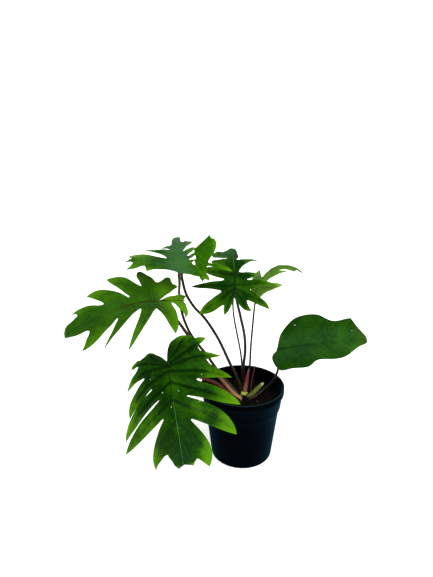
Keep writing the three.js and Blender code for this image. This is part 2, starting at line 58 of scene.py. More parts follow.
# Pot
POT_HEIGHT = 112
RIM_RADIUS = 60
LIP_HEIGHT = 9
RIM_ROUND = 1.1
LIP_ROUND = 0.6
BAND_TOP_RADIUS = 57.6
BAND_FOOT_RADIUS = 55.4
BAND_FOOT_Z = 82
WALL_TOP_RADIUS = 52.8
WALL_TOP_Z = 75
BASE_RADIUS = 44.6
CORNER_RADIUS = 5
FLAT_RADIUS = BASE_RADIUS - CORNER_RADIUS
WALL = 1.2
FLOOR = 2
POT_SIDES = 160
DRAIN_HOLES = 6
DRAIN_RADIUS = 4
DRAIN_CIRCLE_RADIUS = 30

# Soil and stem
SOIL_Z = 91
ROOTED_DEPTH = 7
STEM_FOOT = (3, 4)
STEM_RADIUS = 4.6
STEM_TOP_Z = 97.5

# Heights at which a stalk or sheath still rises straight: out of the soil, and off the stem
ROOTED = (SOIL_Z - ROOTED_DEPTH, SOIL_Z - ROOTED_DEPTH / 2, SOIL_Z + 1.5)
ON_STEM = (STEM_TOP_Z + 0.3, STEM_TOP_Z + 3)

# Blades: the cut behind the petiole, the steps of the mesh, half the thickness, the widths of the
# thin margin, the midrib's groove and the ribs, and what each flat point knows of its place
SINUS = 2.0
THROAT_STEPS = 9
LOBE_STEPS = 26
ACROSS_STEPS = 8
WHOLE_STEPS = 90
WHOLE_ACROSS_STEPS = 22
BASE_LOBE_THROAT = 0.42
AXIS_DRAW = 0.16
HALF_THICKNESS = 0.3
THIN_EDGE = 0.14
THIN_MARGIN = 2.5
GROOVE_WIDTH = 1.6
RIB_WIDTH = 0.9
FLAT_MARKS = ("rib_mm", "edge_mm", "vein_mm", "reach")

# Leaves. A blade is drawn flat and then bent:
#   base        where the midrib meets the petiole
#   heading     compass direction of the midrib in degrees, pitch its rise, roll the turn about it
#   droop, back bend of the midrib, degrees in 100 mm, before and behind the petiole
#   fold        rise of the left and right halves at the midrib, in degrees
#   side        bend of the left and right halves, degrees in 100 mm
#   tip         end of the blade, as distance across and along the midrib
#   ribs        distances along the midrib where the lobes' ribs leave it, from the tip back
#   left, right lobes from the tip back: notch across and along, tip across and along, and the
#               fullness of the lobe's front and back edges
#   crown       fullness of the end lobe's left and right edges
#   foot, route where the petiole leaves the soil and what it passes on the way to the blade
#   radii       of the petiole, at its foot and at the blade
# An uncut blade has no ribs, and its left and right lists are margin points, across and along.
# pleat is how far the blade rises between its ribs, and wave how far its margins wave. specks are
# places of grit on the blade, across and along.
LEAVES = {
    "front": dict(
        base=(-100.7, -56, 173.7), heading=-76, pitch=-36, roll=-24,
        droop=4, back=16, fold=(-16, -20), side=(16, 8), pleat=2.5, wave=0.8,
        tip=(8, 130.5), crown=(0, 0), ribs=(104, 94, 78, 50, 27, 12, 5, 2.5, 1),
        left=[(1.5, 128.5, 10.5, 131, 0, 0), (17, 125, 28, 136, 0, 10), (18, 79, 68, 106, 1, 12),
              (18, 49, 82, 70, 2, 6), (34, 30, 79, 32, 0, 1), (49, 5, 71, -1, 1, 0),
              (43, -13, 56, -31, 0, 2), (41, -31, 36, -37, 0, 12.5)],
        right=[(12, 126, 15, 120.5, 0, 0), (21, 111, 42, 123, -2, 9), (18, 69, 91, 89, 2, 7),
               (20, 44, 88, 74, -2, 11), (29, 26, 76, 47, -1, 9), (40, 6, 76, 9, -1, 2),
               (49, -16, 64, -21, 1, 4), (42, -25, 26, -29, 1, 1)],
        specks=[(-42, 23.5), (-7.5, 40), (13.5, 36), (31.5, 10.5), (3, 58.5), (-31, 59)],
        foot=(-5, -14.5), radii=(2.3, 1.9),
        route=[(-14, -16.5, 101), (-39, -22, 126), (-63, -38, 145), (-85, -50, 163)],
    ),
    "left": dict(
        base=(-117.1, -6, 240.4), heading=209, pitch=8, roll=26,
        droop=42, back=20, fold=(18, 8), side=(26, 24), pleat=2.0, wave=0.8,
        tip=(-1, 133), crown=(4, 6), ribs=(112, 78, 44, 20, 6, 3, 1.2),
        left=[(25, 94, 50, 108, -1, 8), (25, 58, 67, 83, 0, 0), (18, 28, 82, 59, 0, 2),
              (24, 10, 72, 1, 0, 5), (9, -17, 43, -23, -3, 4), (3, -39, -12, -50, -1, 3)],
        right=[(13, 105, 22, 114, -2, 5), (12, 69, 38, 88, -1, 11), (11, 35, 56, 55, 2, 8),
               (27, 15, 61, 8, 5, 3), (34, -10, 50, -33, 1, 2), (35, -34, 30, -42, 0, 1)],
        foot=(-3.7, -8.5), radii=(2.9, 2),
        route=[(-10, -7.5, 98), (-32, -3, 123), (-53, -4, 151), (-76, -6, 190), (-92, -6, 214),
               (-106, -6, 230)],
    ),
    "top": dict(
        base=(-86.7, -4, 280.3), heading=97, pitch=20, roll=-3.5,
        droop=14.5, back=40, fold=(-5, -4), side=(16, 20), pleat=1.3, wave=0.5,
        tip=(9, 124), crown=(6, 0), ribs=(84, 64, 46, 28, 16, 9, 4.5),
        left=[(7, 78, 23, 71, 0, 0), (8, 59, 54, 80, -1, -1.6), (15, 36, 70, 60, 6, 1),
              (64, 50, 74, 46, 0, 0), (62, 36, 71, 22, 0, 2), (46, 22, 43, 9.5, 0, -4.5)],
        right=[(9, 92, 27, 107, 4, 1), (9, 56, 31, 80, 3, 1), (14, 43, 33, 62, 2, 1),
               (16, 33, 33, 41, 0, -1), (19, 24, 26, 18, 0, 0), (28, 12, 40, -12, 4, -1)],
        foot=(-5.5, -2.8), radii=(2.2, 1.9),
        route=[(-10, -1.5, 101), (-31, 6, 124), (-52, 12, 153), (-74, 21, 180), (-86, 28, 208),
               (-90, 31, 238), (-88, 15, 258)],
    ),
    "centre": dict(
        base=(-12.1, 10.4, 249.9), heading=90, pitch=45, roll=-3,
        droop=38, back=78, fold=(-11, -12), side=(20, 22), pleat=1.3, wave=0.5,
        tip=(2, 91), crown=(2, 2), ribs=(78, 64, 44, 26, 9, 3.5, 1.2),
        left=[(13, 82, 31, 81, 5, 6.5), (10, 61, 33, 62, 2, 3), (16, 41, 45, 49, 2, 6),
              (15, 18, 64, 16, 2, 1), (19, 0, 49, -34, 5, 4), (16, -21, 14, -35, 1, 3)],
        right=[(7, 74, 8.5, 67, 0, 0), (5, 57, 44, 69, 4, -6), (7, 33, 32, 39, 0, 4),
               (19, 21, 72, 23, 6, -4), (23, 5, 52, -24, 5, 0), (18, -13, 25, -28, -1, 8)],
        foot=(3.5, 13), radii=(2.1, 1.9),
        route=[(3, 10.5, 104), (1.5, 8, 133), (3.5, 7, 162), (2, 7, 185), (-4, 8.5, 213), (-8.3, 10, 231)],
    ),
    "young": dict(
        base=(17.9, 44, 232.2), heading=48, pitch=67, roll=16,
        droop=100, back=20, fold=(-8, -50), side=(10, 10), pleat=0.9, wave=0.5,
        tip=(0, 119), crown=(2, 2), ribs=(84, 72, 46, 16, 4),
        left=[(8, 94, 18, 84, 1, 2), (10.5, 72, 10.5, 60, 0, 1), (3, 30, 33, 50, 0, 5),
              (14, 8, 10, 0, 0, 1)],
        right=[(7, 97, 11, 89, 0, 0), (6, 57, 12, 72, 1, 1), (8, 24, 28, 44, 1, 3), (15, 9, 9, -1, 0, 1)],
        foot=(8, 11.5), radii=(1.6, 1.3),
        route=[(8.5, 11.5, 110), (11, 12, 136), (12, 14, 165), (14.5, 19, 198), (17, 31, 216),
               (19.4, 44.7, 225)],
    ),
    "right": dict(
        base=(48.6, -8, 170.8), heading=-4, pitch=12, roll=-48,
        droop=16, back=10, fold=(6, 6), side=(14, 14), pleat=0.9, wave=0.8,
        tip=(3, 125),
        left=[(4.5, 124), (17.5, 115.5), (30, 109), (32, 104), (30, 86), (33, 74.5), (41, 63), (43.5, 50),
              (41, 32.5), (34.5, 20.5), (22, 7.5), (11.5, 2)],
        right=[(6.5, 121), (11, 108.5), (22, 89.5), (25, 72.5), (23.5, 50), (31, 35), (30.5, 14.5),
               (31, 0), (26, -6.5), (16.5, -10.5), (8.5, -10), (3, -4.5)],
        specks=[(-29, 27.5), (-13, 105.5)],
        foot=(11.5, -8), radii=(1.8, 1.5),
        route=[(16, -8.6, 95.5), (29, -3, 103), (41, -1, 114), (48, -2, 128), (51, -4, 150)],
    ),
    "behind_top": dict(
        base=(-64, 23.5, 282.8), heading=30, pitch=60, roll=-50,
        droop=10, back=10, fold=(-6, -6), side=(14, 20), pleat=0.5, wave=0.4,
        tip=(-3, 45), crown=(0, 0), ribs=(36, 30, 8, 2.5),
        left=[(5.5, 37, 6.5, 34, 0, 0), (13, 18, 11, 13, 0, 0), (5.5, 8, 6.8, 3.8, 0, 0)],
        right=[(2, 42, 6.5, 43, 0, 5), (12.5, 10, 48, 13.5, 3.4, 1), (14, 5, 16.5, -17.5, 3, 1.5)],
        foot=(-1, 11.5), radii=(2.2, 1.9),
        route=[(-3.3, 10, 106), (-18.7, 9, 142), (-35.2, 10, 179), (-54.5, 12, 209.6), (-68, 13, 224.5),
               (-78.5, 14.5, 242), (-83.4, 15, 260.7), (-84.3, 15.5, 273), (-79, 19.5, 277.3),
               (-71.5, 25, 278)],
    ),
    "behind_centre": dict(
        base=(-14, 24, 236), heading=100, pitch=20, roll=0,
        droop=30, back=20, fold=(-10, -10), side=(20, 20), pleat=0.4, wave=0.3,
        tip=(0, 50),
        left=[(7, 40), (12, 28), (14, 15), (11, 2), (6, -5)],
        right=[(7, 40), (12, 28), (14, 15), (11, 2), (6, -5)],
        foot=(0.5, 17.2), radii=(1.4, 1.2),
        route=[(0.7, 16, 106), (-0.1, 15, 131.5), (-2.3, 15, 153.5), (-7.6, 17, 181.5), (-12.7, 20, 208.5),
               (-14.1, 23, 226)],
    ),
}


# Shader maths

class Wire:
    """A number in a material's node tree: an expression on wires adds the Math nodes it needs."""

    def __init__(self, finish, socket):
        self.finish = finish
        self.socket = socket

    def maths(self, operation, *terms):
        return self.finish.node("ShaderNodeMath", {"operation": operation}, dict(enumerate(terms)))

    def __add__(self, other):
        return self.maths("ADD", self, other)

    def __sub__(self, other):
        return self.maths("SUBTRACT", self, other)

    def __mul__(self, other):
        return self.maths("MULTIPLY", self, other)

    def __truediv__(self, other):
        return self.maths("DIVIDE", self, other)

    def __rsub__(self, other):
        return self.maths("SUBTRACT", other, self)

    __radd__ = __add__
    __rmul__ = __mul__

    def fold(self, period):
        """Distance to the nearest multiple of a period."""
        return self.maths("PINGPONG", self + 1000 * period, period / 2)

    def rise(self, low, high):
        """0 below the low value, 1 above the high one, smooth between."""
        return self.finish.node("ShaderNodeMapRange", {"interpolation_type": "SMOOTHSTEP"},
                                {"Value": self, "From Min": low, "From Max": high})

    def fall(self, low, high):
        """1 below the low value, 0 above the high one, smooth between."""
        return 1 - self.rise(low, high)


class Finish:
    """A material: constants go on the shader's sockets, and every other node comes from node()."""

    def __init__(self, name, **constants):
        self.material = bpy.data.materials.new(name)
        self.material.use_nodes = True
        self.tree = self.material.node_tree
        self.shader = self.tree.nodes["Principled BSDF"]
        for socket, value in constants.items():
            self.shader.inputs[socket.replace("_", " ")].default_value = value
        self.place = self.node("ShaderNodeTexCoord", output="Object")

    def node(self, kind, settings=None, inputs=None, output=0):
        """One output of a new node, with its settings made before its inputs are filled."""
        made = self.tree.nodes.new(kind)
        for setting, value in (settings or {}).items():
            setattr(made, setting, value)
        for socket, value in (inputs or {}).items():
            if isinstance(value, Wire):
                self.tree.links.new(value.socket, made.inputs[socket])
            else:
                made.inputs[socket].default_value = value
        return Wire(self, made.outputs[output])

    def attribute(self, name):
        """A number that the mesh holds for each point."""
        return self.node("ShaderNodeAttribute", {"attribute_name": name}, output="Fac")

    def noise(self, size_mm, detail, squeeze=1):
        """Cloudy noise around 0.5, with forms about as large as size_mm. A squeeze below 1 draws
        them out up and down."""
        place = self.place
        if squeeze != 1:
            place = self.node("ShaderNodeMapping", inputs={"Vector": place, "Scale": (1, 1, squeeze)})
        inputs = {"Vector": place, "Scale": 1 / (size_mm * MM), "Detail": detail}
        return self.node("ShaderNodeTexNoise", inputs=inputs)

    def mix(self, factor, low, high):
        """From the low colour at 0 to the high colour at 1."""
        ends = [end if isinstance(end, Wire) else (*end, 1) for end in (low, high)]
        inputs = {0: factor, 6: ends[0], 7: ends[1]}
        return self.node("ShaderNodeMix", {"data_type": "RGBA"}, inputs, output=2)

    def feed(self, **wires):
        """Joins wires to the shader's sockets and gives back the material."""
        for socket, wire in wires.items():
            self.tree.links.new(wire.socket, self.shader.inputs[socket.replace("_", " ")])
        return self.material

    def bump(self, height, depth_mm, strength):
        """Normals of a surface raised by a height times a depth."""
        inputs = {"Height": height, "Distance": depth_mm * MM, "Strength": strength}
        return self.node("ShaderNodeBump", inputs=inputs)


# Finishes

DARK_RIB = (0.001, 0.008, 0.0005)
PALE_RIB = (0.09, 0.28, 0.09)
FADED_RIB = (0.03, 0.12, 0.008)
RED_RIB = (0.03, 0.008, 0.001)
UNDERSIDE = (0.04, 0.14, 0.006)
# Painted sheen: the pale bluish green laid about the midrib stands in for light reflected there
PAINTED_SHEEN_GREEN = (0.032, 0.11, 0.036)
DRIED = (0.03, 0.03, 0.004)
STALK_TOP = (0.03, 0.04, 0.01)


def leaf_finish(name, greens, veins, under=UNDERSIDE, side_ribs=None, turn=(0.5, 0.8), rib=0.3, midrib=0.5,
                spine_mm=1.3, side=0.12, shine=0.03, cloudy=2.2, mottled=0.8, rib_shade_amount=0.3, limed=0.8,
                painted_light_behind_stalk=0.0, painted_sheen=0.0, painted_sheen_from=(-2, -1), dried=0.0):
    """A green leaf: its deep, bright and lime greens follow clouds, bands along the side veins, a painted
    shade that darkens the blade beside its ribs, and the way out to the lobes' ends; behind the petiole
    a painted light may lay lime that lifts the shadow of a leaf above. The midrib changes from a near to
    a far colour, and so do the ribs unless they have a colour of their own. Fine side veins run between
    them, a painted bluish sheen lies about the midrib, the tip may be dried, and the underside has pale
    veins."""
    finish = Finish(name, Specular_IOR_Level=shine, Specular_Tint=(0.5, 1, 0.5, 1))
    deep, bright, lime = greens
    rib_mm, edge_mm, vein_mm, reach, ahead = map(finish.attribute, (*FLAT_MARKS, "ahead"))
    cloud = finish.noise(32, 2) - 0.5
    mottle = finish.noise(5, 4) - 0.5
    fine = finish.noise(1.5, 3) - 0.5
    across_veins = {"W": vein_mm / 7, "Scale": 1, "Detail": 2}
    bands = finish.node("ShaderNodeTexNoise", {"noise_dimensions": "1D"}, across_veins) - 0.5
    # Painted shade: the blade is darkened beside its ribs, where shade lies in the creases
    painted_rib_shade = rib_mm.fall(0.2, 4) * edge_mm.rise(0.5, 5)
    tone = cloud * cloudy + (mottle + bands) * mottled + fine * 0.4 + reach * 0.5 - painted_rib_shade * rib_shade_amount + 0.35
    colour = finish.mix(tone.rise(0, 1), deep, bright)
    far_out = reach + cloud * 1.3 + mottle * 0.5 * mottled + fine * 0.3
    # Painted light: lime laid behind the petiole lifts the shadow that a leaf above casts there
    colour = finish.mix(far_out.rise(0.3, 1.2) * limed + ahead.fall(-0.18, 0.06) * painted_light_behind_stalk, colour, lime)
    # Painted sheen: pale bluish green about the midrib, towards the tip, for light reflected off the blade
    sheen_mask = finish.attribute("aside_mm").fall(8, 26) * ahead.rise(*painted_sheen_from) * (mottle * 0.8 + 0.9)
    colour = finish.mix(sheen_mask * painted_sheen, colour, PAINTED_SHEEN_GREEN)
    vein = finish.mix((ahead + mottle * 0.3).rise(*turn), *veins)
    side_vein = vein_mm.fold(3.4).fall(0.0, 0.5) * edge_mm.rise(0.5, 3)
    ribs = rib_mm.fall(0.15, 1) * edge_mm.rise(0.3, 6)
    spine = finish.attribute("midrib_mm").fall(0.25 * spine_mm, spine_mm)
    colour = finish.mix(side_vein * side, colour, side_ribs or vein)
    colour = finish.mix(ribs * (1 - spine) * rib, colour, side_ribs or vein)
    colour = finish.mix(spine * midrib, colour, vein)
    colour = finish.mix(edge_mm.fall(0.05, 0.5) * 0.25, colour, lime)
    colour = finish.mix(ahead.rise(0.82, 0.98) * mottle.rise(-0.15, 0.1) * dried, colour, DRIED)
    below = finish.attribute("under")
    paler = ribs * 0.4 + spine * 0.35 + side_vein * 0.25 + cloud * 0.5 + mottle * 0.4 + 0.05
    colour = finish.mix(below, colour, finish.mix(paler * 0.7, under, PALE_RIB))
    rough = (finish.noise(9, 2) - 0.5) * 0.2 + below * 0.14 + 0.44
    height = ribs * -0.6 - side_vein * 0.3 + mottle * 0.25 + fine * 0.12
    return finish.feed(Base_Color=colour, Roughness=rough, Normal=finish.bump(height, 0.6, 0.7))


def stalk_finish(name, foot, body, top=STALK_TOP, foot_end=0.3):
    """A leaf stalk: its colour changes from foot to top, with fine lengthwise streaks and pale dots."""
    finish = Finish(name, Specular_IOR_Level=0.2)
    along = finish.attribute("along")
    colour = finish.mix((along + (finish.noise(9, 2) - 0.5) * 0.2).rise(0.02, foot_end), foot, body)
    colour = finish.mix(along.rise(0.8, 1.0), colour, top)
    streak = finish.noise(1.0, 3, squeeze=0.08)
    colour = finish.mix(streak.rise(0.5, 0.85) * 0.2, colour, (0.1, 0.06, 0.035))
    dots = finish.noise(1.1, 1).rise(0.68, 0.74)
    colour = finish.mix(dots * 0.25, colour, (0.32, 0.22, 0.12))
    return finish.feed(Base_Color=colour, Roughness=(streak - 0.5) * 0.2 + 0.42,
                       Normal=finish.bump(streak + dots * 0.4, 0.25, 0.5))


def sheath_finish(name, foot, body, tip, rough):
    """A papery or fleshy sheath: colour from foot to tip, with lengthwise ridges."""
    finish = Finish(name, Specular_IOR_Level=0.45)
    along = finish.attribute("along")
    around = finish.attribute("around")
    colour = finish.mix((along + (finish.noise(6, 3) - 0.5) * 0.3).rise(0.05, 0.6), foot, body)
    colour = finish.mix((along + (finish.noise(3, 2) - 0.5) * 0.25).rise(0.82, 0.95), colour, tip)
    ridge = around.fold(1 / 14).rise(0, 1 / 28)
    streak = finish.noise(1.2, 3, squeeze=0.12)
    colour = finish.mix(streak.rise(0.45, 0.8) * 0.4, colour, tip)
    return finish.feed(Base_Color=colour, Roughness=rough + (streak - 0.5) * 0.25,
                       Normal=finish.bump(ridge + streak * 0.6, 0.35, 0.6))


def pot_finish():
    """Moulded plastic, near black with a blue cast, a fine grain, dust, water marks and a painted highlight
    along the rim.
    """
    finish = Finish("pot_plastic", Specular_IOR_Level=0.0, Sheen_Weight=0.12, Sheen_Roughness=0.35,
                    Sheen_Tint=(0.15, 0.5, 0.8, 1))
    grain = finish.noise(0.5, 2)
    dust = finish.noise(14, 5).rise(0.52, 0.8)
    runs = finish.noise(2.2, 4, squeeze=0.12).rise(0.56, 0.8)
    colour = finish.mix(dust * 0.35 + runs * 0.18, (0.0004, 0.0006, 0.0011), (0.0015, 0.0026, 0.0045))
    rough = 0.4 + dust * 0.14 + (grain - 0.5) * 0.1
    height = finish.node("ShaderNodeSeparateXYZ", inputs={0: finish.place}, output=2)
    # Painted highlight: a pale teal line along the top of the rim, where its rounding catches the light
    painted_rim_highlight = (height + (dust - 0.5) * 0.0004).rise((POT_HEIGHT - RIM_ROUND) * MM, (POT_HEIGHT - 0.2) * MM)
    colour = finish.mix(painted_rim_highlight * 0.8, colour, (0.014, 0.03, 0.036))
    return finish.feed(Base_Color=colour, Roughness=rough, Normal=finish.bump(grain, 0.12, 0.35))


def crumb_finish(name, dark, light, size, rough=0.95):
    """Crumbs: dark and light patches, about as large as the size in millimetres, and a rough grain."""
    finish = Finish(name, Specular_IOR_Level=0.1)
    colour = finish.mix(finish.noise(size, 5).rise(0.4, 0.72), dark, light)
    return finish.feed(Base_Color=colour, Roughness=finish.noise(size, 2) * 0.2 + rough - 0.1,
                       Normal=finish.bump(finish.noise(size / 3, 4), 0.6, 0.9))


# Meshes

def add_object(name, data):
    """A new object in the scene."""
    made = bpy.data.objects.new(name, data)
    bpy.context.scene.collection.objects.link(made)
    return made


def make_piece(name, points, faces, material, slot, replaces=(), attributes=None, outward=True):
    """A piece from points in millimetres and a list of faces; it rides on the one body."""
    mesh = bpy.data.meshes.new(name)
    face_list = faces if isinstance(faces, list) else faces.tolist()
    mesh.from_pydata((np.asarray(points) * MM).tolist(), [], face_list)
    for key, values in (attributes or {}).items():
        mesh.attributes.new(key, "FLOAT", "POINT").data.foreach_set("value", np.asarray(values, np.float32))
    if outward:
        work = bmesh.new()
        work.from_mesh(mesh)
        bmesh.ops.recalc_face_normals(work, faces=work.faces)
        work.to_mesh(mesh)
        work.free()
    mesh.shade_smooth()
    mesh.materials.append(material)
    piece = add_object(name, mesh)
    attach(piece, "root")
    if replaces:
        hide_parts(*replaces)
    return piece


def grid_faces(rows, columns, wrap):
    """Quads between neighbouring rows and columns; wrap joins the last column to the first."""
    i = np.arange(rows - 1)[:, None]
    j = np.arange(columns if wrap else columns - 1)[None, :]
    k = (j + 1) % columns
    quads = np.stack([i * columns + j, i * columns + k, (i + 1) * columns + k, (i + 1) * columns + j], -1)
    return quads.reshape(-1, 4)


def unit(vectors):
    """Each vector divided by its length."""
    return vectors / np.maximum(np.linalg.norm(vectors, axis=-1, keepdims=True), 1e-9)


def hump(x, middle, width):
    """A bell curve, 1 at its middle."""
    return np.exp(-(((x - middle) / width) ** 2))


def smooth_path(points, count):
    """A smooth curve through points, as evenly spaced positions: each stretch is a Hermite cubic
    whose end slopes come from its neighbours, weighted by the square roots of their lengths."""
    p = np.asarray(points, float)
    p = np.vstack([2 * p[0] - p[1], p, 2 * p[-1] - p[-2]])
    gap = np.sqrt(np.linalg.norm(np.diff(p, axis=0), axis=1))[:, None]
    before, here, after = gap[:-2], gap[1:-1], gap[2:]
    start = (p[1:-2] - p[:-3]) / before - (p[2:-1] - p[:-3]) / (before + here) + (p[2:-1] - p[1:-2]) / here
    end = (p[2:-1] - p[1:-2]) / here - (p[3:] - p[1:-2]) / (here + after) + (p[3:] - p[2:-1]) / after
    t = np.linspace(0, 1, 40, endpoint=False)[:, None, None]
    a, b = p[1:-2], p[2:-1]
    curve = ((2 * t**3 - 3 * t**2 + 1) * a + (t**3 - 2 * t**2 + t) * start * here
             + (3 * t**2 - 2 * t**3) * b + (t**3 - t**2) * end * here)
    curve = np.vstack([curve.transpose(1, 0, 2).reshape(-1, 3), p[-2]])
    run = np.concatenate([[0], np.cumsum(np.linalg.norm(np.diff(curve, axis=0), axis=1))])
    even = np.linspace(0, run[-1], count)
    return np.stack([np.interp(even, run, curve[:, k]) for k in range(3)], -1)


def tube(path, radii, sides, swell):
    """Rings round a path, square to it; swell adds to each ring's radius by its angle. Points,
    faces with flat ends, and how far along and around each point is."""
    ahead = unit(np.gradient(path, axis=0))
    side = unit(np.cross(ahead, (0.05, 1, 0.02)))
    other = np.cross(side, ahead)
    angle = np.linspace(0, 2 * np.pi, sides, endpoint=False)
    radius = np.asarray(radii)[:, None] + swell(np.linspace(0, 1, len(path))[:, None], angle[None, :])
    ring = np.cos(angle)[None, :, None] * side[:, None] + np.sin(angle)[None, :, None] * other[:, None]
    points = (path[:, None] + radius[..., None] * ring).reshape(-1, 3)
    last = (len(path) - 1) * sides
    faces = grid_faces(len(path), sides, True).tolist()
    faces += [list(range(sides)), list(range(last, last + sides))]
    along = np.repeat(np.linspace(0, 1, len(path)), sides)
    around = np.tile(np.arange(sides) / sides, len(path))
    return points, faces, {"along": along, "around": around}


def turned(profile, sides, shape=None):
    """A profile of radius and height turned about Z. It starts and ends on the axis; shape may move
    the rings' points."""
    profile = np.asarray(profile, float)
    angle = np.linspace(0, 2 * np.pi, sides, endpoint=False)
    ring = profile[1:-1]
    points = np.stack([ring[:, 0, None] * np.cos(angle), ring[:, 0, None] * np.sin(angle),
                       ring[:, 1, None] * np.ones(sides)], -1).reshape(-1, 3)
    points = np.vstack([points, [0, 0, profile[0, 1]], [0, 0, profile[-1, 1]]])
    if shape is not None:
        points = shape(points)
    faces = grid_faces(len(ring), sides, True).tolist()
    low, high, last = len(points) - 2, len(points) - 1, (len(ring) - 1) * sides
    faces += [[low, (j + 1) % sides, j] for j in range(sides)]
    faces += [[high, last + j, last + (j + 1) % sides] for j in range(sides)]
    return points, faces


def bend(distance, start, degrees):
    """End of an arc that starts at an angle and turns by a number of degrees in 100 mm: how far
    ahead and how far up it has come, and its angle there."""
    rate = math.radians(degrees) / 100
    angle = start + rate * distance
    return (np.sin(angle) - np.sin(start)) / rate, (np.cos(start) - np.cos(angle)) / rate, angle


def blade_axes(leaf):
    """Unit vectors along the midrib, across to the right, and up from the upper face."""
    heading, pitch, roll = (math.radians(leaf[k]) for k in ("heading", "pitch", "roll"))
    compass = np.array([math.cos(heading), math.sin(heading), 0])
    along = compass * math.cos(pitch) + np.array([0, 0, math.sin(pitch)])
    level = np.array([math.sin(heading), -math.cos(heading), 0])
    upright = np.cross(level, along)
    across = math.cos(roll) * level + math.sin(roll) * upright
    up = math.cos(roll) * upright - math.sin(roll) * level
    return along, across, up


def blade_points(leaf, u, v, lift):
    """Places of flat points: the midrib bends along one arc before the petiole and one behind it,
    each half bends along an arc of its own, and lift raises a point off that surface."""
    along, across, up = blade_axes(leaf)
    ahead = np.where(v >= 0, 1.0, -1.0)
    front = bend(np.abs(v), 0, -leaf["droop"])
    back = bend(np.abs(v), 0, -leaf["back"])
    run, climb, angle = (np.where(v >= 0, f, b) for f, b in zip(front, back))
    left, right = (bend(np.abs(u), math.radians(leaf["fold"][k]), -leaf["side"][k]) for k in (0, 1))
    out, rise = (np.where(u >= 0, r, q) for q, r in zip(left[:2], right[:2]))
    normal = np.cos(angle)[:, None] * up - (ahead * np.sin(angle))[:, None] * along
    return (np.array(leaf["base"]) + (ahead * run)[:, None] * along + climb[:, None] * up
            + (np.sign(u) * out)[:, None] * across + (rise + lift)[:, None] * normal)


def bezier(points, t):
    """The Bezier curve of its control points, by mixing neighbours until one is left."""
    row = [np.broadcast_to(np.asarray(p, float), (len(t), 2)) for p in points]
    while len(row) > 1:
        row = [a + (b - a) * t[:, None] for a, b in zip(row, row[1:])]
    return row[0]


def rungs(rib, margin, across_steps, throat, notch, sign, front, lobe):
    """A patch from its rib to its margin, with what the finish and the relief need at each point."""
    across = np.linspace(0, 1, across_steps + 1)
    flat = rib[:, None] * (1 - across)[:, None] + margin[:, None] * across[:, None]
    run = np.concatenate([[0], np.cumsum(np.linalg.norm(np.diff(rib, axis=0), axis=1))])
    rows = len(rib)
    outer = np.clip((np.arange(rows) - throat) / (rows - 1 - throat), 0, 1)
    inner = np.clip(np.arange(rows) / max(throat, 1), 0, 1)
    to_notch = np.where(np.arange(rows) <= throat, np.linalg.norm(margin - notch, axis=1), 0)
    shape = (rows, across_steps + 1)
    rib_mm = np.linalg.norm(flat - rib[:, None], axis=-1)
    edge_mm = np.linalg.norm(flat - margin[:, None], axis=-1) + to_notch[:, None]
    return dict(
        flat=flat, turned=(sign > 0) == front, rib_mm=rib_mm, edge_mm=edge_mm,
        vein_mm=run[:, None] + 1.3 * rib_mm, reach=np.broadcast_to(outer[:, None], shape),
        pleat=(inner**1.4 * (1 - outer) ** 0.7)[:, None] * across**1.25,
        wave=(np.sin(np.pi * outer) * np.sin(2 * np.pi * (1.6 * outer + 0.37 * lobe)))[:, None] * across**2,
    )


